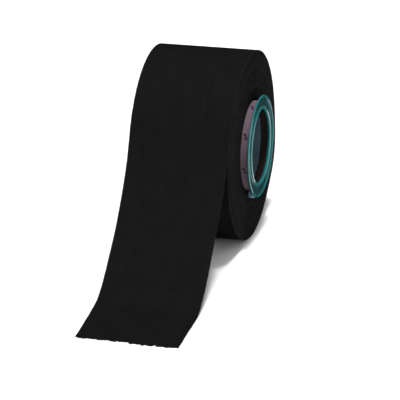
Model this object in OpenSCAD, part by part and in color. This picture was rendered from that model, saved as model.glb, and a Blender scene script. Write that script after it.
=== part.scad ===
// Roll of woven cotton grip tape on a cardboard core with plastic end rings.
// The roll stands on its edge and a loose tail of tape runs down its front to the floor.
// Origin at the centre of the bore, half way across the tape. +X along the roll's axis,
// -Y the way the tail runs, +Z up. Millimetres.

/* [Tape] */
// width of the tape across the roll
tape_w = 38; // [19:0.5:50]
// thickness of one wound layer, cloth with its adhesive
tape_t = 0.32; // [0.2:0.01:0.6]
// outside radius of the wound roll
roll_r = 36.16; // [25:0.1:60]
// where round the back the node of the outer lap ends, degrees below the back
lap_end_deg = 50; // [20:1:80]

/* [Loose tail] */
// slope of the tail where it leaves the roll, degrees below level
leave_deg = 66.5; // [50:0.5:85]
// slope at the end of the upper bend
upper_end_deg = 45.7; // [40:0.1:60]
// slope at the start of the foot bend
foot_start_deg = 36.5; // [20:0.1:40]
// radius of the upper bend
upper_bend_r = 86.4; // [60:0.1:150]
// radius of the foot bend
foot_bend_r = 36; // [15:0.5:40]
// length of the end that lies flat on the floor
flat_len = 14.6; // [5:0.1:60]
// length of the tail that stays with the roll, up to the peel line
lead_len = 5; // [4.5:0.1:10]
// gap between the tail's segments at each bend line
bend_gap = 0.3; // [0.2:0.01:0.6]

/* [Core] */
// outside radius of the cardboard tube
tube_r = 17.1; // [12:0.1:30]
// inside radius of the cardboard tube
tube_bore_r = 14.6; // [10:0.1:28]
// how far the tube stands out of the tape at each side
tube_proud = 3; // [1:0.1:6]
// inside radius of the thin lining sleeve
liner_bore_r = 14.2; // [10:0.1:27]
// how far the lining sleeve stops short of each side of the tape
liner_setback = 0.2; // [0:0.1:5]

/* [End ring] */
// radius of the opening through each end ring
ring_bore_r = 13.9; // [9:0.1:26]
// radius at which the rounded outer rim is centred
rim_centre_r = 19.1; // [15:0.1:30]
// section radius of the rounded outer rim
rim_bead_r = 0.35; // [0.3:0.05:1]
// section radius of the rounded inner lip
lip_bead_r = 0.7; // [0.4:0.05:1]
// thickness of the web between rim and lip
web_t = 0.3; // [0.2:0.05:1]
// how far the ring's sleeve reaches into the tube
sleeve_depth = 0.6; // [0.5:0.1:2]
// radius of the moulded tab behind the rim
tab_r = 0.85; // [0.5:0.05:1]
// where the tab sits, degrees below level at the front
tab_deg = 64; // [0:1:90]

/* [Hidden] */
face_x = tape_w / 2;
tube_end_x = face_x + tube_proud;
sleeve_end_x = tube_end_x - sleeve_depth;
liner_half = face_x - liner_setback;
// the rim's bead stands on the end of the tube, and the lip's is centred a little outside it
rim_centre_x = tube_end_x + rim_bead_r;
lip_centre_x = tube_end_x + 0.05;
lip_centre_r = ring_bore_r + lip_bead_r - 0.1;
// narrow flat land on the crest of both beads
land_x = tube_end_x + 0.65;
// the tab starts inside the web's rear face and ends in a ball clear of the tape
tab_root_x = tube_end_x + 0.1;
tab_tip_x = face_x + 1.2;
tab_centre_r = rim_centre_r - 0.8;
// centre line of the tape where it leaves the roll
mid_r = roll_r - tape_t / 2;
take_off_deg = 90 + leave_deg;
start_y = mid_r * cos(take_off_deg);
start_z = mid_r * sin(take_off_deg);
// the middle bend's radius brings the tail down exactly to the floor
fall = start_z + mid_r;
upper_fall = upper_bend_r * (cos(upper_end_deg) - cos(leave_deg));
foot_fall = foot_bend_r * (1 - cos(foot_start_deg));
middle_bend_r = (fall - upper_fall - foot_fall) / (cos(foot_start_deg) - cos(upper_end_deg));
// centres of the three bends, each on the normal through the one before
upper_y = start_y - upper_bend_r * sin(leave_deg);
upper_z = start_z + upper_bend_r * cos(leave_deg);
middle_y = upper_y + (upper_bend_r - middle_bend_r) * sin(upper_end_deg);
middle_z = upper_z - (upper_bend_r - middle_bend_r) * cos(upper_end_deg);
foot_y = middle_y + (middle_bend_r - foot_bend_r) * sin(foot_start_deg);
foot_z = middle_z - (middle_bend_r - foot_bend_r) * cos(foot_start_deg);
touch_y = foot_y;
// turn of the upper bend over the lead, and of the upper and middle bends over half a gap
lead_turn = lead_len / upper_bend_r * 180 / PI;
upper_gap_turn = bend_gap / 2 / upper_bend_r * 180 / PI;
middle_gap_turn = bend_gap / 2 / middle_bend_r * 180 / PI;
// the second layer shows below the tail, on an arc that meets the floor under the axis
under_r = roll_r - tape_t;
under_y = under_r * cos(take_off_deg);
under_z = under_r * sin(take_off_deg);
front_r = (under_y * under_y + (under_z + roll_r) * (under_z + roll_r)) / 2 / (under_z + roll_r);
reach = 400;
wedge_steps = 12;
round_fn = 144;
bend_fn = 360;
ring_fn = 72;
bead_fn = 20;

// pie slice from angle a to angle b about the origin
module slice(a, b) {
  polygon(concat([[0, 0]], [for (i = [0:wedge_steps])
    [reach * cos(a + (b - a) * i / wedge_steps), reach * sin(a + (b - a) * i / wedge_steps)]]));
}

// strip of tape bent to radius r about the origin, from angle a to angle b
module bent_strip(r, a, b) {
  intersection() {
    difference() {
      circle(r = r + tape_t / 2, $fn = bend_fn);
      circle(r = r - tape_t / 2, $fn = bend_fn);
    }
    slice(a, b);
  }
}

// a side view, drawn as Y and Z, made as wide as the tape
module across_tape() {
  rotate([90, 0, 90])
    linear_extrude(height = tape_w, center = true)
      children();
}

// outline of everything wound under the outer lap, with the step where the tail leaves
module wound_outline() {
  intersection() {
    circle(r = under_r, $fn = round_fn);
    slice(-lap_end_deg, take_off_deg);
  }
  intersection() {
    circle(r = roll_r, $fn = round_fn);
    slice(-90, -lap_end_deg);
  }
  intersection() {
    translate([0, front_r - roll_r])
      circle(r = front_r, $fn = round_fn);
    slice(take_off_deg, 270);
  }
}

module tape_windings() {
  color([0.03, 0.03, 0.03])
    across_tape()
      difference() {
        wound_outline();
        circle(r = tube_r, $fn = round_fn);
      }
}

module outer_lap() {
  color([0.035, 0.035, 0.035])
    across_tape()
      intersection() {
        difference() {
          circle(r = roll_r, $fn = round_fn);
          circle(r = under_r, $fn = round_fn);
        }
        slice(-lap_end_deg, take_off_deg);
      }
}

module tail_lead() {
  color([0.035, 0.035, 0.035])
    across_tape()
      translate([upper_y, upper_z])
        bent_strip(upper_bend_r, leave_deg - 90 - lead_turn + upper_gap_turn, leave_deg - 90);
}

module tail_upper() {
  color([0.035, 0.035, 0.035])
    across_tape()
      translate([upper_y, upper_z])
        bent_strip(upper_bend_r, upper_end_deg - 90 + upper_gap_turn,
                   leave_deg - 90 - lead_turn - upper_gap_turn);
}

module tail_middle() {
  color([0.035, 0.035, 0.035])
    across_tape()
      translate([middle_y, middle_z])
        bent_strip(middle_bend_r, foot_start_deg - 90, upper_end_deg - 90 - middle_gap_turn);
}

module tail_foot() {
  color([0.035, 0.035, 0.035])
    across_tape()
      translate([foot_y, foot_z])
        bent_strip(foot_bend_r, -90, foot_start_deg - 90);
}

module tail_end() {
  color([0.035, 0.035, 0.035])
    translate([-face_x, touch_y - flat_len, -roll_r])
      cube([tape_w, flat_len - bend_gap, tape_t]);
}

module core_tube() {
  color([0.3, 0.25, 0.3])
    rotate([0, 90, 0])
      difference() {
        cylinder(r = tube_r, h = 2 * tube_end_x, center = true, $fn = round_fn);
        cylinder(r = tube_bore_r, h = 3 * tube_end_x, center = true, $fn = round_fn);
      }
}

module core_liner() {
  color([0.18, 0.24, 0.26])
    rotate([0, 90, 0])
      difference() {
        cylinder(r = tube_bore_r, h = 2 * liner_half, center = true, $fn = round_fn);
        cylinder(r = liner_bore_r, h = 3 * liner_half, center = true, $fn = round_fn);
      }
}

// half section of an end ring, drawn as radius and distance along the axis
module ring_section() {
  difference() {
    union() {
      translate([rim_centre_r, rim_centre_x])
        circle(r = rim_bead_r, $fn = bead_fn);
      translate([lip_centre_r, lip_centre_x])
        circle(r = lip_bead_r, $fn = bead_fn);
      translate([lip_centre_r, tube_end_x])
        square([rim_centre_r - lip_centre_r, web_t]);
      translate([ring_bore_r, sleeve_end_x])
        square([tube_bore_r - ring_bore_r, lip_centre_x - sleeve_end_x]);
    }
    square([ring_bore_r, 2 * tube_end_x]);
    translate([0, land_x])
      square([2 * rim_centre_r, tube_end_x]);
    translate([tube_bore_r, 0])
      square([tube_r - tube_bore_r, tube_end_x]);
  }
}

module end_ring() {
  union() {
    rotate([0, 90, 0])
      rotate_extrude($fn = ring_fn)
        ring_section();
    rotate([tab_deg, 0, 0])
      translate([tab_root_x, -tab_centre_r, 0])
        rotate([0, -90, 0]) {
          cylinder(r = tab_r, h = tab_root_x - tab_tip_x, $fn = bead_fn);
          translate([0, 0, tab_root_x - tab_tip_x])
            sphere(r = tab_r, $fn = bead_fn);
        }
  }
}

module near_end_ring() {
  color([0.05, 0.3, 0.32])
    end_ring();
}

module far_end_ring() {
  color([0.05, 0.3, 0.32])
    mirror([1, 0, 0])
      end_ring();
}

tape_windings();
outer_lap();
tail_lead();
tail_upper();
tail_middle();
tail_foot();
tail_end();
core_tube();
core_liner();
near_end_ring();
far_end_ring();
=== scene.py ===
"""A roll of black cotton grip tape on a cardboard core: the looks, in metres, in the CAD's frame.

+X is the roll's axis, out of the visible end ring. -Y is the way the loose tail runs. +Z is up.
The tape's own coordinates are s, the length along it from the line where it leaves the roll
(negative on the roll), and x, across it.
"""

import math

import bpy
import numpy as np
from mathutils import Matrix, Vector


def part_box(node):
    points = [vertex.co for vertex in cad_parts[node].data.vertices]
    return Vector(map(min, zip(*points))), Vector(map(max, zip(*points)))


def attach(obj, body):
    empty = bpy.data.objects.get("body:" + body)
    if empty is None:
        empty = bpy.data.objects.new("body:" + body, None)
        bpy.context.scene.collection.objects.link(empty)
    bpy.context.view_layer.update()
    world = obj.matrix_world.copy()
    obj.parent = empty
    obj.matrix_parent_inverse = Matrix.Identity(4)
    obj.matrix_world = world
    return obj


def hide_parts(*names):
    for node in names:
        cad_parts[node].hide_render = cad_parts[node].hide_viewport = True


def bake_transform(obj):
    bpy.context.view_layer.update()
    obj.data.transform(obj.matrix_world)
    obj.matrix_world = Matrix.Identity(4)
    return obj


MM = 0.001
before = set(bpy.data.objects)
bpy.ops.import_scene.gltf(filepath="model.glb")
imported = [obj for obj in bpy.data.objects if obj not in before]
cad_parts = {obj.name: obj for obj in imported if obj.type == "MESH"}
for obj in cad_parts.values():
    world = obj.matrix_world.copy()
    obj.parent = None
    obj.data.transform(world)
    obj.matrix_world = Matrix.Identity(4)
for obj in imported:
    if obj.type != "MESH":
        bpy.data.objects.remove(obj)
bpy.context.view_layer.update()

# ---------------------------------------------------------------- sizes, most of them from the CAD

windings_low, windings_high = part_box("tape_windings")
end_low, end_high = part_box("tail_end")
_, tube_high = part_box("core_tube")
_, liner_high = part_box("core_liner")
_, ring_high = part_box("near_end_ring")

ROLL_R = -windings_low[2]
HALF_W = windings_high[0]
TAPE_T = end_high[2] - end_low[2]
MID_R = ROLL_R - TAPE_T / 2
FLOOR_Z = -ROLL_R
TUBE_R = tube_high[2]
TUBE_END = tube_high[0]
LINER_R = liner_high[2]
RING_R = ring_high[2]
RING_BORE = 13.9 * MM
SLEEVE_DEPTH = 0.6 * MM
GROOVE_R = 16.9 * MM

# the loose tail: the slope and radius of its three bends, as in the CAD
LEAVE = math.radians(66.5)
UPPER_END = math.radians(45.7)
FOOT_START = math.radians(36.5)
UPPER_BEND_R = 86.4 * MM
FOOT_BEND_R = 36 * MM
LEAD = 5 * MM

FALL = MID_R * math.cos(LEAVE) + MID_R
UPPER_FALL = UPPER_BEND_R * (math.cos(UPPER_END) - math.cos(LEAVE))
FOOT_FALL = FOOT_BEND_R * (1 - math.cos(FOOT_START))
MIDDLE_BEND_R = (FALL - UPPER_FALL - FOOT_FALL) / (math.cos(FOOT_START) - math.cos(UPPER_END))
UPPER_LEN = UPPER_BEND_R * (LEAVE - UPPER_END)
MIDDLE_LEN = MIDDLE_BEND_R * (UPPER_END - FOOT_START)
FOOT_LEN = FOOT_BEND_R * FOOT_START
BEND_S = UPPER_LEN
TOUCH_S = UPPER_LEN + MIDDLE_LEN + FOOT_LEN
TOUCH_Y = (
    MID_R * math.sin(LEAVE)
    + UPPER_BEND_R * (math.sin(LEAVE) - math.sin(UPPER_END))
    + MIDDLE_BEND_R * (math.sin(UPPER_END) - math.sin(FOOT_START))
    + FOOT_BEND_R * math.sin(FOOT_START)
)
END_S = TOUCH_S - end_low[1] - TOUCH_Y

# the sawtooth edge: one sample at each tip and each notch
TOOTH_PITCH = 1.1 * MM
TOOTH_DEPTH = 0.3 * MM
STEP = TOOTH_PITCH / 2

# the weave: from thread to thread along the tape and across it
WEFT_PITCH = 0.44 * MM
WARP_PITCH = 0.36 * MM

RANDOM = np.random.default_rng(7)


# ---------------------------------------------------------------- meshes

def add_mesh(name, points, faces, materials, body, face_material=None, smooth=True):
    """A mesh object that rides on a body, from its points and its four-cornered faces."""
    mesh = bpy.data.meshes.new(name)
    points = np.asarray(points, dtype=np.float32)
    faces = np.asarray(faces, dtype=np.int32)
    mesh.vertices.add(len(points))
    mesh.vertices.foreach_set("co", points.ravel())
    mesh.loops.add(faces.size)
    mesh.loops.foreach_set("vertex_index", faces.ravel())
    mesh.polygons.add(len(faces))
    corners = faces.shape[1]
    mesh.polygons.foreach_set("loop_start", np.arange(0, faces.size, corners, dtype=np.int32))
    mesh.polygons.foreach_set("loop_total", np.full(len(faces), corners, dtype=np.int32))
    for material in materials:
        mesh.materials.append(material)
    if face_material is not None:
        mesh.polygons.foreach_set("material_index", np.asarray(face_material, dtype=np.int32))
    mesh.update(calc_edges=True)
    mesh.validate()
    if smooth:
        mesh.shade_smooth()
    piece = bpy.data.objects.new(name, mesh)
    bpy.context.scene.collection.objects.link(piece)
    if body:
        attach(piece, body)
    return piece


def add_point_vector(piece, name, values):
    """Gives each point of a mesh a vector that its material can read."""
    layer = piece.data.attributes.new(name, "FLOAT_VECTOR", "POINT")
    layer.data.foreach_set("vector", np.asarray(values, dtype=np.float32).ravel())


def grid_faces(rows, columns, start=0, flip=False, wrap=False):
    """Quads over a grid of points, stored row by row from point number start."""
    i = np.arange(rows if wrap else rows - 1)
    j = np.arange(columns - 1)
    i, j = np.meshgrid(i, j, indexing="ij")
    here, ahead = i * columns + j, ((i + 1) % rows) * columns + j
    quads = np.stack([here, ahead, ahead + 1, here + 1], -1).reshape(-1, 4) + start
    return quads[:, ::-1] if flip else quads


def lathe(name, section, materials, body, section_material=None, steps=192):
    """Turns a closed section, a list of (distance along X, radius), round the roll's axis."""
    section = np.vstack([section, section[:1]])
    turn = np.arange(steps) * 2 * math.pi / steps
    x = np.broadcast_to(section[:, 0], (steps, len(section)))
    y = np.cos(turn)[:, None] * section[:, 1]
    z = np.sin(turn)[:, None] * section[:, 1]
    points = np.stack([x, y, z], -1).reshape(-1, 3)
    faces = grid_faces(steps, len(section), wrap=True)
    of_face = None
    if section_material is not None:
        of_face = np.tile(section_material, steps)
    piece = add_mesh(name, points, faces, materials, body, of_face)
    weld = piece.modifiers.new("Weld", "WELD")
    weld.merge_threshold = 1e-7
    return piece


def arc(centre, radius, start, end, steps):
    """Points of a section on an arc, with its angles in degrees from the X direction."""
    turn = np.radians(np.linspace(start, end, steps + 1))
    return [(centre[0] + radius * math.cos(a), centre[1] + radius * math.sin(a)) for a in turn]


# ---------------------------------------------------------------- the tape's path and its edge

def on_roll(back):
    """Y, Z and outward direction of the tape's middle, back radians before it leaves the roll."""
    turns = np.floor(back / (2 * math.pi))
    part = back - turns * 2 * math.pi
    to_floor = math.pi / 2 + LEAVE + math.pi / 2
    sink = np.clip((part - to_floor) / (2 * math.pi - to_floor), 0, 1)
    radius = MID_R - TAPE_T * (turns + sink)
    angle = math.pi / 2 + LEAVE - back
    return radius * np.cos(angle), radius * np.sin(angle), np.cos(angle), np.sin(angle)


def on_tail(s):
    """Y, Z and outward direction of the tape's middle, s metres after it leaves the roll."""
    y = np.full_like(s, -MID_R * math.sin(LEAVE))
    z = np.full_like(s, MID_R * math.cos(LEAVE))
    slope = np.full_like(s, LEAVE)
    start = 0.0
    bends = ((UPPER_BEND_R, UPPER_LEN), (MIDDLE_BEND_R, MIDDLE_LEN), (FOOT_BEND_R, FOOT_LEN))
    for radius, length in bends:
        run = np.clip(s - start, 0, length)
        after = slope - run / radius
        y -= radius * (np.sin(slope) - np.sin(after))
        z -= radius * (np.cos(after) - np.cos(slope))
        slope = after
        start += length
    y -= np.clip(s - TOUCH_S, 0, None)
    return y, z, -np.sin(slope), np.cos(slope)


def tape_path(s):
    """Y, Z and outward direction of the tape's middle, on the roll and along the loose tail."""
    s = np.asarray(s, dtype=float)
    roll = on_roll(np.maximum(-s, 0) / MID_R)
    tail = on_tail(np.maximum(s, 0))
    return [np.where(s < 0, a, b) for a, b in zip(roll, tail)]


def path_point(s):
    y, z, _, _ = tape_path(np.array([s]))
    return (0.0, float(y[0]), float(z[0]))


# how unevenly the teeth are cut, on the far and the near edge, as a share of their depth
JITTERS = 4096
TOOTH_JITTER = RANDOM.normal(0, 0.1, (2, JITTERS))


def tooth(number, side):
    """How far sample number of the edge stands out: a notch, then a tip, then a notch."""
    shape = np.where(number % 2 == 0, -0.5, 0.5)
    return TOOTH_DEPTH * (shape + TOOTH_JITTER[side, number % JITTERS])


def smoothstep(t):
    t = np.clip(t, 0, 1)
    return t * t * (3 - 2 * t)


def between(s, start, full, fade, end):
    """Rises smoothly from 0 to 1 from start to full, and falls back from fade to end, in mm."""
    rise = smoothstep((s - start * MM) / ((full - start) * MM))
    return rise * smoothstep((end * MM - s) / ((end - fade) * MM))


def sag(s, x):
    """How far the loose tail stands out of its path: its waviness, twist and arched foot."""
    across = x / HALF_W
    loose = between(s, 4, 16, 66, 90)
    wave = 0.12 * np.sin(s / (7.4 * MM) + 1.1 * across)
    wave += 0.1 * np.sin(s / (17 * MM) - 2.0 * across + 1)
    cup = -0.2 * (across**2 - 0.3)
    twist = -0.62 * across * between(s, 35, 55, 70, 88)
    arch = 0.9 * between(s, 68, 78, 81, 96)
    return (loose * (wave + cup) + twist + arch) * MM


# low down at the back of the roll, the outer layers have slid a little out of line
SLIDE = 0.6 * MM
SLIDE_PLACE = math.pi / 2 + LEAVE + 0.42
SLIDE_SPREAD = 0.34

# the loose tail has drifted sideways by its end
TAIL_DRIFT = 0.5 * MM
DRIFT_FROM = 30 * MM
DRIFT_OVER = 60 * MM


def slid(back):
    """How far the outer layers have slid, back radians before the tape leaves the roll."""
    turned = np.remainder(back, 2 * math.pi) - SLIDE_PLACE
    return SLIDE * np.exp(-((turned / SLIDE_SPREAD) ** 2))


def skew(s):
    """How far the tape has moved towards +X, on the roll and along the loose tail."""
    return slid(np.maximum(-s, 0) / MID_R) + TAIL_DRIFT * smoothstep((s - DRIFT_FROM) / DRIFT_OVER)


# the bites along the tear: where they are across the tape, and how far they reach in mm
BITES = 70
BITE_PLACES = np.sort(RANDOM.uniform(-1, 1, BITES))
BITE_SIZES = RANDOM.normal(0, 0.26, BITES)


def torn(x):
    """How far the torn end stands beyond the CAD's straight end, at x across the tape."""
    across = x / HALF_W
    waves = 0.16 * np.sin(9 * across + 0.4) + 0.14 * np.sin(17 * across + 2)
    bites = np.interp(across, BITE_PLACES, BITE_SIZES)
    bulge = 1.15 * np.exp(-(((across - 0.5) / 0.36) ** 2))
    return (0.8 + bulge + waves + bites) * MM


# where the strip's points lie across the tape, as shares of half its width, which is 19 mm
COLUMNS = np.array([-18.4, -14, -9.3, -4.6, 0, 4.6, 9.3, 14, 18.4]) / 19
FINE_COLUMNS = np.linspace(-0.975, 0.975, 79)

# the weave is drawn out over this length to reach the tear, where the threads end unevenly
TEAR_REACH = 5 * MM
FRAY = 0.26 * MM


def strip_faces(rows, columns):
    """Quads of a closed strip: its outer side, its inner side, its two edges and its two ends."""
    count = rows * columns
    top = grid_faces(rows, columns, 0)
    bottom = grid_faces(rows, columns, count, flip=True)
    i = np.arange(rows - 1) * columns
    low = np.stack([i, i + count, i + columns + count, i + columns], -1)
    j = i + columns - 1
    high = np.stack([j, j + columns, j + columns + count, j + count], -1)
    k = np.arange(columns - 1)
    begin = np.stack([k, k + 1, k + 1 + count, k + count], -1)
    k = k + (rows - 1) * columns
    finish = np.stack([k, k + count, k + 1 + count, k + 1], -1)
    walls = np.concatenate([low, high, begin, finish])
    kinds = np.repeat([0, 1, 2], [len(top), len(bottom), len(walls)])
    return np.concatenate([top, bottom, walls]), kinds


def tape_piece(name, first, last, body, torn_end=False):
    """A length of tape between two samples of its edge, as a thin closed strip of cloth."""
    number = np.arange(first, last + 1)
    inner = FINE_COLUMNS if torn_end else COLUMNS
    columns = len(inner) + 2
    x = np.empty((len(number), columns))
    x[:, 1:-1] = inner * HALF_W
    x[:, 0] = -HALF_W - tooth(number, 0)
    x[:, -1] = HALF_W + tooth(number, 1)
    along = np.repeat(number[:, None] * STEP, columns, 1)
    if torn_end:
        along[-1] = END_S
        ramp = smoothstep((along - END_S + TEAR_REACH) / TEAR_REACH)
        along = along + ramp * torn(x)
        along[-1] += RANDOM.normal(0, FRAY, columns)
    y, z, out_y, out_z = tape_path(along)
    lift = sag(along, x)
    y, z = y + out_y * lift, z + out_z * lift
    z = np.maximum(z, FLOOR_Z + TAPE_T / 2)
    aside = x + skew(along)
    half = TAPE_T / 2
    outer = np.stack([aside, y + out_y * half, z + out_z * half], -1)
    under = np.stack([aside, y - out_y * half, z - out_z * half], -1)
    points = np.concatenate([outer.reshape(-1, 3), under.reshape(-1, 3)])
    faces, kinds = strip_faces(len(number), columns)
    piece = add_mesh(name, points, faces, [cloth, adhesive, cut_edge], body, kinds)
    weave = np.stack([along, x, np.zeros_like(x)], -1).reshape(-1, 3)
    add_point_vector(piece, "weave", np.concatenate([weave, weave]))
    piece.data.set_sharp_from_angle(angle=math.radians(50))
    return piece


# ---------------------------------------------------------------- materials

class Nodes:
    """A material's node tree, with short ways to add nodes to it."""

    def __init__(self, name):
        self.material = bpy.data.materials.new(name)
        self.material.use_nodes = True
        self.tree = self.material.node_tree
        self.shader = self.tree.nodes["Principled BSDF"]

    def add(self, kind, **settings):
        node = self.tree.nodes.new(kind)
        for key, value in settings.items():
            setattr(node, key, value)
        return node

    def feed(self, socket, value):
        if isinstance(value, bpy.types.NodeSocket):
            self.tree.links.new(value, socket)
        else:
            socket.default_value = value

    def math(self, operation, *values):
        node = self.add("ShaderNodeMath", operation=operation)
        for socket, value in zip(node.inputs, values):
            self.feed(socket, value)
        return node.outputs[0]

    def noise(self, vector, scale, detail=3.0, roughness=0.55):
        node = self.add("ShaderNodeTexNoise")
        self.feed(node.inputs["Vector"], vector)
        node.inputs["Scale"].default_value = scale
        node.inputs["Detail"].default_value = detail
        node.inputs["Roughness"].default_value = roughness
        return node.outputs[0]

    def stretch(self, vector, scale):
        node = self.add("ShaderNodeVectorMath", operation="MULTIPLY")
        self.feed(node.inputs[0], vector)
        node.inputs[1].default_value = scale
        return node.outputs[0]

    def split(self, vector):
        node = self.add("ShaderNodeSeparateXYZ")
        self.feed(node.inputs[0], vector)
        return node.outputs

    def span(self, value, low, high, to_low=0.0, to_high=1.0):
        node = self.add("ShaderNodeMapRange")
        self.feed(node.inputs["Value"], value)
        ends = {"From Min": low, "From Max": high, "To Min": to_low, "To Max": to_high}
        for key, number in ends.items():
            self.feed(node.inputs[key], number)
        return node.outputs[0]

    def mix(self, share, first, second):
        node = self.add("ShaderNodeMix", data_type="RGBA")
        self.feed(node.inputs["Factor"], share)
        self.feed(node.inputs[6], first)
        self.feed(node.inputs[7], second)
        return node.outputs[2]

    def bump(self, height, distance, strength):
        node = self.add("ShaderNodeBump")
        node.inputs["Distance"].default_value = distance
        node.inputs["Strength"].default_value = strength
        self.feed(node.inputs["Height"], height)
        return node.outputs[0]

    def place(self):
        return self.add("ShaderNodeTexCoord").outputs["Object"]

    def attribute(self, name):
        return self.add("ShaderNodeAttribute", attribute_name=name).outputs["Vector"]

    def set(self, **sockets):
        for key, value in sockets.items():
            self.feed(self.shader.inputs[key.replace("_", " ")], value)


def rgb(red, green, blue):
    return (red, green, blue, 1.0)


def make_cloth():
    """Plain-woven black cotton. Warp threads run along the tape and weft threads across it."""
    n = Nodes("cloth")
    weave = n.attribute("weave")
    s, x, _ = n.split(weave)
    drift = n.span(n.noise(weave, 260, 2), 0, 1, -0.35, 0.35)
    weft = n.math("ADD", n.math("DIVIDE", s, WEFT_PITCH), drift)
    warp = n.math("ADD", n.math("DIVIDE", x, WARP_PITCH), drift)
    weft_number, warp_number = n.math("FLOOR", weft), n.math("FLOOR", warp)

    def round_top(position):
        centred = n.math("MULTIPLY_ADD", n.math("FRACT", position), 2.0, -1.0)
        return n.math("SUBTRACT", 1.0, n.math("MULTIPLY", centred, centred))

    def over_under(along, other_number, sign):
        phase = n.math("ADD", n.math("SUBTRACT", along, 0.5), other_number)
        wave = n.math("COSINE", n.math("MULTIPLY", phase, math.pi))
        return n.math("MULTIPLY_ADD", wave, 0.42 * sign, 0.58)

    warp_height = n.math("MULTIPLY", round_top(warp), over_under(weft, warp_number, 1))
    weft_height = n.math("MULTIPLY", round_top(weft), over_under(warp, weft_number, -1))
    threads = n.math("MAXIMUM", warp_height, weft_height)
    fibres = n.noise(n.stretch(weave, (1, 2.5, 1)), 9000, 2)
    height = n.math("MULTIPLY_ADD", fibres, 0.35, threads)
    blotch = n.noise(weave, 130, 4)
    streak = n.noise(n.stretch(weave, (0.03, 1, 1)), 900, 2)
    blotchy, streaky = n.span(blotch, 0.3, 0.7, 0.85, 1.15), n.span(streak, 0.3, 0.7, 0.86, 1.14)
    tone = n.math("MULTIPLY", blotchy, streaky)
    # painted shade: darker in the gaps between threads, times the cloth's own blotchy and streaky
    # tone
    shade = n.math("MULTIPLY", n.span(threads, 0.15, 0.95, 0.35, 1.15), tone)
    lint = n.math("GREATER_THAN", n.noise(weave, 1700, 1), 0.80)
    base = n.mix(shade, rgb(0, 0, 0), rgb(0.0074, 0.0072, 0.0073))
    base = n.mix(n.math("MULTIPLY", lint, 0.35), base, rgb(0.07, 0.068, 0.066))
    n.set(Base_Color=base, Roughness=n.span(threads, 0.2, 1, 0.95, 0.72))
    n.set(Normal=n.bump(height, 0.07 * MM, 0.8), Specular_IOR_Level=0.06)
    return n.material


def make_adhesive():
    """The tacky inner side of the tape, with the weave showing faintly through the coat."""
    n = Nodes("adhesive")
    weave = n.attribute("weave")
    s, x, _ = n.split(weave)
    rows = n.math("SINE", n.math("MULTIPLY", s, 2 * math.pi / WEFT_PITCH))
    lines = n.math("SINE", n.math("MULTIPLY", x, 2 * math.pi / WARP_PITCH))
    cloth_show = n.math("MULTIPLY", rows, lines)
    patches = n.noise(weave, 420, 4)
    pores = n.noise(weave, 3000, 2)
    height = n.math("MULTIPLY_ADD", cloth_show, 0.15, n.math("ADD", patches, pores))
    n.set(Base_Color=n.mix(patches, rgb(0.014, 0.012, 0.011), rgb(0.03, 0.026, 0.023)))
    n.set(Roughness=n.span(patches, 0.3, 0.7, 0.38, 0.7), Normal=n.bump(height, 0.05 * MM, 0.7))
    return n.material


def make_cut_edge():
    """The cut edge of the tape, where the thread ends stand out of the coat as dull fibre."""
    n = Nodes("cut_edge")
    place = n.place()
    fibres = n.noise(place, 7000, 3, 0.7)
    clumps = n.noise(place, 900, 2)
    fibrous, clumpy = n.span(fibres, 0.3, 0.7, 0.5, 1.5), n.span(clumps, 0.3, 0.7, 0.7, 1.3)
    tone = n.math("MULTIPLY", fibrous, clumpy)
    n.set(Base_Color=n.mix(tone, rgb(0.002, 0.002, 0.002), rgb(0.014, 0.0135, 0.014)))
    n.set(Roughness=0.92, Specular_IOR_Level=0.2, Normal=n.bump(fibres, 0.05 * MM, 0.8))
    return n.material


def make_wound_edge():
    """The edges of the wound layers: dull at the tips of the sawtooth, with painted shade darkening
    the gaps between them.
    """
    n = Nodes("wound_edge")
    place = n.place()
    height, turn, _ = n.split(n.attribute("edge"))
    fibres = n.noise(place, 6500, 3, 0.7)
    patches = n.noise(place, 160, 3)
    fibrous, patchy = n.span(fibres, 0.3, 0.7, 0.6, 1.4), n.span(patches, 0.3, 0.7, 0.75, 1.25)
    tone = n.math("MULTIPLY", fibrous, patchy)
    tone = n.math("MULTIPLY", tone, n.math("MULTIPLY_ADD", turn, 0.5, 0.75))
    # painted shade: darker the deeper a point sits in the gap between layers
    tone = n.math("MULTIPLY", tone, n.span(height, 0, 1, 0.12, 1.0))
    n.set(Base_Color=n.mix(tone, rgb(0.0008, 0.0008, 0.0008), rgb(0.017, 0.0165, 0.017)))
    n.set(Roughness=0.93, Specular_IOR_Level=0.06, Normal=n.bump(fibres, 0.04 * MM, 0.7))
    return n.material


def polar(n):
    """Distance along the axis, radius, and turn round it from -pi to pi, of a surface point."""
    x, y, z = n.split(n.place())
    radius = n.math("SQRT", n.math("ADD", n.math("MULTIPLY", y, y), n.math("MULTIPLY", z, z)))
    return x, radius, n.math("ARCTAN2", z, y)


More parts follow.
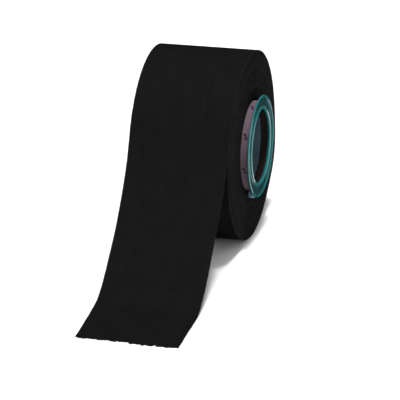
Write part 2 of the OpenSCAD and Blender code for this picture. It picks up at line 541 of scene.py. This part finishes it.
def make_paper():
    """The printed paper round the outside of the core tube, with plain stepped ink marks."""
    n = Nodes("core_paper")
    place = n.place()
    x, _, turn = polar(n)
    fibres = n.noise(n.stretch(place, (0.6, 1, 1)), 2600, 4, 0.65)
    blotch = n.noise(place, 190, 3)
    fibrous, blotchy = n.span(fibres, 0.3, 0.7, 0.82, 1.14), n.span(blotch, 0.3, 0.7, 0.86, 1.12)
    tone = n.math("MULTIPLY", fibrous, blotchy)
    paper = n.mix(tone, rgb(0.0, 0.0, 0.0), rgb(0.118, 0.084, 0.104))
    cell = n.math("FRACT", n.math("MULTIPLY_ADD", turn, 4 / math.pi, 0.21))
    proud = n.math("SUBTRACT", n.math("ABSOLUTE", x), HALF_W)

    def inside(value, low, high):
        above, below = n.math("GREATER_THAN", value, low), n.math("LESS_THAN", value, high)
        return n.math("MULTIPLY", above, below)

    def dash(cell_from, cell_to, from_x, to_x):
        return n.math("MULTIPLY", inside(cell, cell_from, cell_to), inside(proud, from_x, to_x))

    foot = dash(0.43, 0.49, 0.4 * MM, 1.6 * MM)
    stem = dash(0.43, 0.60, 1.1 * MM, 1.6 * MM)
    head = dash(0.54, 0.60, 1.1 * MM, 2.2 * MM)
    ink = n.math("MAXIMUM", foot, n.math("MAXIMUM", stem, head))
    ink = n.math("MULTIPLY", ink, n.span(fibres, 0.35, 0.5, 0.55, 1.0))
    n.set(Base_Color=n.mix(ink, paper, rgb(0.018, 0.006, 0.035)))
    n.set(Roughness=n.span(fibres, 0.3, 0.7, 0.62, 0.8), Normal=n.bump(fibres, 0.03 * MM, 0.6))
    n.set(Specular_IOR_Level=0.35)
    return n.material


def make_board():
    """Bare brown board inside the tube, with the spiral seam of its plies, darkened almost to black
    as painted shade for the inside of the bore.
    """
    n = Nodes("core_board")
    place = n.place()
    x, _, turn = polar(n)
    fibres = n.noise(place, 1900, 4, 0.65)
    turned = n.math("DIVIDE", turn, 2 * math.pi)
    spiral = n.math("FRACT", n.math("ADD", n.math("DIVIDE", x, 21 * MM), turned))
    seam = n.math("LESS_THAN", n.math("ABSOLUTE", n.math("SUBTRACT", spiral, 0.5)), 0.012)
    # painted shade: the board's brown is darkened almost to black for the inside of the bore
    board_in_painted_shade = n.mix(n.span(fibres, 0.3, 0.7), rgb(0.0085, 0.0055, 0.0048), rgb(0.018, 0.011, 0.009))
    n.set(Base_Color=n.mix(seam, board_in_painted_shade, rgb(0.03, 0.018, 0.013)))
    height = n.math("SUBTRACT", fibres, n.math("MULTIPLY", seam, 2.0))
    n.set(Roughness=0.88, Normal=n.bump(height, 0.04 * MM, 0.7), Specular_IOR_Level=0.2)
    return n.material


def make_ring_plastic():
    """Glossy moulded teal plastic, lighter on the beads, with painted shade darkening the groove's
    web, the rear flanks and the sleeve.
    """
    n = Nodes("ring_plastic")
    place = n.place()
    x, radius, _ = polar(n)
    cloud = n.noise(place, 240, 3)
    rub = n.noise(n.stretch(place, (4, 1, 1)), 1500, 4, 0.7)
    swirl = n.math("SINE", n.math("MULTIPLY_ADD", radius, 9000, n.math("MULTIPLY", cloud, 6)))
    from_groove = n.math("ABSOLUTE", n.math("SUBTRACT", radius, GROOVE_R))
    # painted shade: darker near the groove between the rim and the lip
    groove_painted_shade = n.span(from_groove, 1.0 * MM, 2.1 * MM, 0.45, 1.0)
    # painted shade: darker on the rear flanks and inside the sleeve, behind the tube's end
    rear_painted_shade = n.span(n.math("ABSOLUTE", x), TUBE_END - 0.1 * MM, TUBE_END + 0.35 * MM, 0.25, 1.0)
    # the plastic's cloudy tone times the painted shade
    depth = n.math("MULTIPLY", n.math("MULTIPLY", groove_painted_shade, rear_painted_shade), n.span(cloud, 0.3, 0.7, 0.85, 1.15))
    n.set(Base_Color=n.mix(depth, rgb(0.001, 0.006, 0.007), rgb(0.016, 0.125, 0.13)))
    n.set(Roughness=n.span(rub, 0.4, 0.75, 0.05, 0.13), IOR=1.5)
    height = n.math("MULTIPLY_ADD", swirl, 0.15, n.math("ADD", cloud, rub))
    n.set(Normal=n.bump(height, 0.004 * MM, 0.35))
    return n.material


def make_tab_plastic():
    """The tab's plastic, paler and bluer than the ring's as a painted glint."""
    n = Nodes("tab_plastic")
    place = n.place()
    cloud = n.noise(place, 500, 3)
    rub = n.noise(place, 2500, 3, 0.7)
    # painted glint: the pale base colour stands in for the tab's highlight
    n.set(Base_Color=n.mix(n.span(cloud, 0.35, 0.65), rgb(0.06, 0.12, 0.16), rgb(0.2, 0.3, 0.38)))
    n.set(Roughness=n.span(rub, 0.4, 0.75, 0.1, 0.25), IOR=1.5)
    n.set(Normal=n.bump(cloud, 0.02 * MM, 0.6))
    return n.material


def make_liner_plastic():
    """Thin satin blue-grey lining, with fine lines drawn along it, its colour darkened as painted
    shade for the inside of the bore.
    """
    n = Nodes("liner_plastic")
    place = n.place()
    drawn = n.noise(n.stretch(place, (0.03, 1, 1)), 3200, 3)
    cloud = n.noise(place, 150, 3)
    tone = n.span(cloud, 0.3, 0.7)
    # the lining's own blue-grey, darkened as painted shade for the inside of the bore
    n.set(Base_Color=n.mix(tone, rgb(0.04, 0.074, 0.09), rgb(0.058, 0.098, 0.118)))
    n.set(Roughness=n.span(drawn, 0.3, 0.7, 0.3, 0.48), Normal=n.bump(drawn, 0.01 * MM, 0.6))
    return n.material


def make_floor():
    """Pale matt studio floor, with a faint grain."""
    n = Nodes("floor")
    place = n.place()
    grain = n.noise(place, 60, 4)
    n.set(Base_Color=n.mix(grain, rgb(0.86, 0.855, 0.86), rgb(0.9, 0.895, 0.9)), Roughness=0.9)
    n.set(Specular_IOR_Level=0.1)
    return n.material


cloth = make_cloth()
adhesive = make_adhesive()
cut_edge = make_cut_edge()
wound_edge = make_wound_edge()
core_paper = make_paper()
core_board = make_board()
ring_plastic = make_ring_plastic()
tab_plastic = make_tab_plastic()
liner_plastic = make_liner_plastic()

# ---------------------------------------------------------------- the roll

# the strip's four pieces are divided at these samples of its edge, counted from where the tape
# leaves the roll
LAP_SAMPLES = int(2 * math.pi * MID_R * 1.04 / STEP)
PEEL_FROM = -11
PEEL_TO = 36
BEND_TO = 109
LAST = int(END_S / STEP)

# more than the number of wound layers: each has its own shade and its own place along X
MAX_LAYERS = 64
GAP_DEPTH = 0.42 * MM

outer_lap = tape_piece("outer_lap_cloth", -LAP_SAMPLES, PEEL_FROM, "roll")
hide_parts("outer_lap", "tail_lead")


def wound_side(name, side):
    """A side of the roll, near (1) or far (0): the sawtooth edge of each layer, with its gap."""
    layers = (MID_R - TUBE_R - TAPE_T / 2) / TAPE_T
    back = [LAP_SAMPLES * STEP / MID_R]
    while back[-1] < layers * 2 * math.pi:
        radius = MID_R - TAPE_T * back[-1] / (2 * math.pi)
        back.append(back[-1] + STEP / radius)
    back = np.array(back)
    number = np.arange(len(back))
    y, z, out_y, out_z = on_roll(back)
    turns = back / (2 * math.pi)
    settle = smoothstep((turns - 1) / 3)
    drift = 0.09 * np.sin(turns * 1.7 + side) + 0.07 * np.sin(turns * 0.61 + 2 * side)
    drift += 0.04 * np.sin(back * 1.3)
    drift += 0.05 * np.interp(turns, np.arange(MAX_LAYERS), RANDOM.normal(0, 1, MAX_LAYERS))
    sign = 1 if side == 1 else -1
    edge = HALF_W + settle * drift * MM + sign * slid(back) * smoothstep((9 - turns) / 6)
    crest = edge + tooth(number, side) * (0.8 + 0.2 * np.sin(turns * 5))
    gap = edge - GAP_DEPTH
    offsets = np.array([-0.5, -0.24, 0.24, 0.5]) * TAPE_T
    depth = np.stack([gap, crest, crest - 0.03 * MM, gap], -1)
    layer_y = y[:, None] + out_y[:, None] * offsets
    layer_z = z[:, None] + out_z[:, None] * offsets
    points = np.stack([sign * depth, layer_y, layer_z], -1)
    faces = grid_faces(len(back), 4, flip=side == 0)
    points = points.reshape(-1, 3)
    piece = add_mesh(name, points, faces, [wound_edge], "roll", smooth=False)
    # how far each point stands out, which the material turns into painted shade in the gaps
    high = (depth - depth.min()) / (depth.max() - depth.min())
    shade = np.interp(turns, np.arange(MAX_LAYERS), RANDOM.uniform(0, 1, MAX_LAYERS))
    shade = np.repeat(shade[:, None], 4, 1)
    values = np.stack([high, shade, np.zeros_like(shade)], -1)
    add_point_vector(piece, "edge", values.reshape(-1, 3))


wound_side("wound_edge_near", 1)
wound_side("wound_edge_far", 0)

# the bulk of the wound tape, behind the edges' gaps and under the outer lap
bulk_x = HALF_W - 0.35 * MM
bulk_outer = ROLL_R - 2 * TAPE_T - 0.05 * MM
bulk_section = [(-bulk_x, TUBE_R), (bulk_x, TUBE_R), (bulk_x, bulk_outer), (-bulk_x, bulk_outer)]
# the bulk carries no edge attribute, so its material gives it the full painted gap shade
bulk = lathe("wound_layers", bulk_section, [wound_edge], "roll")
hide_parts("tape_windings")

# ---------------------------------------------------------------- the loose tail

peel = tape_piece("tail_peel_cloth", PEEL_FROM, PEEL_TO, None)
peel_from, peel_to = path_point(LEAD - 1 * MM), path_point(LEAD + 10 * MM)
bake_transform(peel)
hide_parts("tail_upper")

bend = tape_piece("tail_bend_cloth", PEEL_TO, BEND_TO, None)
bend_from, bend_to = path_point(BEND_S - 8 * MM), path_point(BEND_S + 8 * MM)
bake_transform(bend)
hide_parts("tail_middle")

curl = tape_piece("tail_end_cloth", BEND_TO, LAST, None, torn_end=True)
curl_from, curl_to = path_point(TOUCH_S - 1 * MM), path_point(TOUCH_S + 9 * MM)
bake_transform(curl)
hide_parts("tail_foot", "tail_end")


def torn_threads():
    """Short broken threads that stand out of the torn end, each a thin tapered tube of rings."""
    points, faces = [], []
    threads, rings, sides = 44, 4, 5
    root = 0.4 * MM
    for x in np.sort(RANDOM.uniform(-0.96, 0.96, threads)) * HALF_W:
        length = RANDOM.uniform(0.4, 1.6) * MM
        lean = RANDOM.normal(0, 0.35)
        lift = RANDOM.uniform(0.02, 0.5)
        radius = RANDOM.uniform(0.035, 0.06) * MM
        tear_y = -(END_S + torn(x) - TOUCH_S) - TOUCH_Y
        start = len(points)
        for k in range(rings):
            t = k / (rings - 1)
            centre_x = x + lean * length * t
            y = tear_y + root - (length + root) * t
            centre_z = FLOOR_Z + TAPE_T / 2 + lift * length * t * t * 0.5
            size = radius * (1 - 0.55 * t)
            for m in range(sides):
                a = 2 * math.pi * m / sides
                points.append((centre_x + math.cos(a) * size, y, centre_z + math.sin(a) * size))
        for k in range(rings - 1):
            for m in range(sides):
                a, b = start + k * sides + m, start + k * sides + (m + 1) % sides
                faces.append((a, a + sides, b + sides, b))
    return add_mesh("torn_threads", points, faces, [cut_edge], "tail_end")


threads = torn_threads()


# ---------------------------------------------------------------- the core

def core_tube_piece():
    """The cardboard tube with a paper wrap, its ends slightly rounded by handling."""
    soft = 0.25 * MM
    bore = LINER_R
    section = [(TUBE_END - soft * 2, bore), (TUBE_END - soft, bore)]
    section += arc((TUBE_END - soft, bore + soft), soft, -90, 0, 4)[1:]
    section += arc((TUBE_END - soft, TUBE_R - soft), soft, 0, 90, 4)
    section += [(HALF_W, TUBE_R)]
    section += [(-x, r) for x, r in reversed(section)]
    steps = zip(section, section[1:] + section[:1])
    bare = np.array([int(a[1] < TUBE_R - soft and b[1] < TUBE_R) for a, b in steps])
    piece = lathe("core_tube_board", section, [core_paper, core_board], "roll", bare)
    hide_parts("core_tube")


core_tube_piece()

liner = bpy.data.objects["core_liner"]
liner.data.materials[0] = liner_plastic


def end_ring_piece(name, node, sign):
    """An end ring: rounded rim and lip with a groove between, and a short sleeve in the tube."""
    rim_r, lip_r, soft, fillet = 0.35 * MM, 0.7 * MM, 0.12 * MM, 0.16 * MM
    rim_x, rim_centre = TUBE_END + rim_r, RING_R - rim_r
    lip_x, lip_centre = TUBE_END + 0.05 * MM, RING_BORE + lip_r
    fillet_x = TUBE_END + 0.2 * MM + fillet
    sleeve_end = TUBE_END - SLEEVE_DEPTH
    lip_turn = math.acos((fillet_x - lip_x) / (lip_r + fillet))
    rim_turn = math.acos((fillet_x - rim_x) / (rim_r + fillet))
    inner = (fillet_x, lip_centre + (lip_r + fillet) * math.sin(lip_turn))
    outer = (fillet_x, rim_centre - (rim_r + fillet) * math.sin(rim_turn))
    lip_turn, rim_turn = math.degrees(lip_turn), math.degrees(rim_turn)
    section = [(sleeve_end, LINER_R), (sleeve_end, RING_BORE + soft)]
    section += [(sleeve_end + soft, RING_BORE)]
    section += arc((lip_x, lip_centre), lip_r, -90, lip_turn, 24)
    section += arc(inner, fillet, 180 + lip_turn, 180, 8)[1:]
    section += arc(outer, fillet, 180, 180 - rim_turn, 8)
    section += arc((rim_x, rim_centre), rim_r, -rim_turn, 180, 24)[1:]
    section += [(TUBE_END, LINER_R)]
    section = [(sign * x, r) for x, r in section]
    piece = lathe(name, section, [ring_plastic], "roll", steps=256)
    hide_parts(node)


end_ring_piece("near_ring_plastic", "near_end_ring", 1)
end_ring_piece("far_ring_plastic", "far_end_ring", -1)


def ring_tab(name, sign):
    """The small round-ended tab behind the rim, a little longer outwards than it is wide."""
    radius = 0.95 * MM
    angle = math.radians(62.5)
    out_y, out_z = -math.cos(angle), -math.sin(angle)
    centre_r = RING_R - 0.8 * MM
    root, tip = TUBE_END + 0.1 * MM, HALF_W + 1.35 * MM
    section = [(root, 0.0), (root, radius)] + arc((tip, 0.0), radius, 90, 180, 10)
    steps = 32
    points = []
    for k in range(steps):
        a = 2 * math.pi * k / steps
        for x, r in section:
            outward, sideways = centre_r + 1.3 * r * math.cos(a), r * math.sin(a)
            points.append((
                sign * x,
                outward * out_y - sideways * out_z,
                outward * out_z + sideways * out_y,
            ))
    faces = grid_faces(steps, len(section), wrap=True, flip=sign > 0)
    add_mesh(name, points, faces, [tab_plastic], "roll")


ring_tab("near_ring_tab", 1)
ring_tab("far_ring_tab", -1)

# ---------------------------------------------------------------- floor, light and camera

FLOOR_REACH = 6.0
FLOOR_CORNERS = ((-1, -1), (1, -1), (1, 1), (-1, 1))
floor_points = [(x * FLOOR_REACH, y * FLOOR_REACH, FLOOR_Z) for x, y in FLOOR_CORNERS]
floor = add_mesh("floor", floor_points, [(0, 1, 2, 3)], [make_floor()], None)
floor.visible_glossy = False


# the surround's brightness, and the direction it is brightest in
WORLD_LIGHT = 1.4
SKY_PLACE = (0.12, -0.91, 0.397)

# what glossy pieces mirror: a dark room and one bright round card, which fades out at its rim
DARK_ROOM = 0.03
CARD_LIGHT = 7.5
CARD_PLACE = (0.569, 0.723, -0.392)
CARD_BRIGHT = math.radians(9)
CARD_RIM = math.radians(15)


def add_studio():
    """A white surround, brightest in front. Glossy pieces mirror a dark one with a bright card."""
    world = bpy.data.worlds.new("studio")
    world.use_nodes = True
    tree = world.node_tree
    direction = tree.nodes.new("ShaderNodeTexCoord").outputs["Generated"]
    forward = tree.nodes.new("ShaderNodeVectorMath")
    forward.operation = "DOT_PRODUCT"
    forward.inputs[1].default_value = SKY_PLACE
    tree.links.new(direction, forward.inputs[0])
    sky = tree.nodes.new("ShaderNodeMapRange")
    sky.inputs["To Min"].default_value = 0.3 * WORLD_LIGHT
    sky.inputs["To Max"].default_value = WORLD_LIGHT
    tree.links.new(forward.outputs["Value"], sky.inputs["Value"])
    towards = tree.nodes.new("ShaderNodeVectorMath")
    towards.operation = "DOT_PRODUCT"
    towards.inputs[1].default_value = CARD_PLACE
    tree.links.new(direction, towards.inputs[0])
    card = tree.nodes.new("ShaderNodeMapRange")
    card.interpolation_type = "SMOOTHSTEP"
    card.inputs["From Min"].default_value = math.cos(CARD_RIM)
    card.inputs["From Max"].default_value = math.cos(CARD_BRIGHT)
    card.inputs["To Min"].default_value = DARK_ROOM
    card.inputs["To Max"].default_value = CARD_LIGHT
    tree.links.new(towards.outputs["Value"], card.inputs["Value"])
    ray = tree.nodes.new("ShaderNodeLightPath")
    choose = tree.nodes.new("ShaderNodeMix")
    tree.links.new(ray.outputs["Is Glossy Ray"], choose.inputs["Factor"])
    tree.links.new(sky.outputs[0], choose.inputs["A"])
    tree.links.new(card.outputs[0], choose.inputs["B"])
    behind = tree.nodes.new("ShaderNodeMix")
    tree.links.new(ray.outputs["Is Camera Ray"], behind.inputs["Factor"])
    tree.links.new(choose.outputs[0], behind.inputs["A"])
    behind.inputs["B"].default_value = 1.0
    background = tree.nodes["Background"]
    background.inputs["Color"].default_value = rgb(1, 1, 1)
    tree.links.new(behind.outputs[0], background.inputs["Strength"])
    bpy.context.scene.world = world


add_studio()


def soft_light(name, place, aim, size, power):
    lamp = bpy.data.lights.new(name, "AREA")
    lamp.shape = "DISK"
    lamp.size = size
    lamp.energy = power
    light = bpy.data.objects.new(name, lamp)
    light.location = place
    light.rotation_euler = (Vector(aim) - Vector(place)).to_track_quat("-Z", "Y").to_euler()
    light.visible_glossy = False
    bpy.context.scene.collection.objects.link(light)


soft_light("overhead", (0.12, -0.04, 1.1), (0.0, -0.04, 0.0), 0.2, 14)


def add_camera():
    """A long lens, from in front, a little to the right and above."""
    azimuth, elevation, roll = math.radians(15.65), math.radians(21.59), math.radians(-1.065)
    distance = 1.0447
    target = Vector((-1.814 * MM, 0, -24.05 * MM))
    back = Vector((
        math.sin(azimuth) * math.cos(elevation),
        -math.cos(azimuth) * math.cos(elevation),
        math.sin(elevation),
    ))
    right = Vector((math.cos(azimuth), math.sin(azimuth), 0))
    up = back.cross(right)
    rolled_right = math.cos(roll) * right + math.sin(roll) * up
    rolled_up = -math.sin(roll) * right + math.cos(roll) * up
    camera = bpy.data.objects.new("camera", bpy.data.cameras.new("camera"))
    camera.data.sensor_width = 36
    camera.data.lens = 245.2
    camera.data.clip_start = 0.01
    camera.matrix_world = Matrix((
        (rolled_right.x, rolled_up.x, back.x, 0),
        (rolled_right.y, rolled_up.y, back.y, 0),
        (rolled_right.z, rolled_up.z, back.z, 0),
        (0, 0, 0, 1),
    ))
    camera.location = target + back * distance
    bpy.context.scene.collection.objects.link(camera)
    bpy.context.scene.camera = camera


add_camera()
bpy.context.scene.view_settings.view_transform = "Standard"
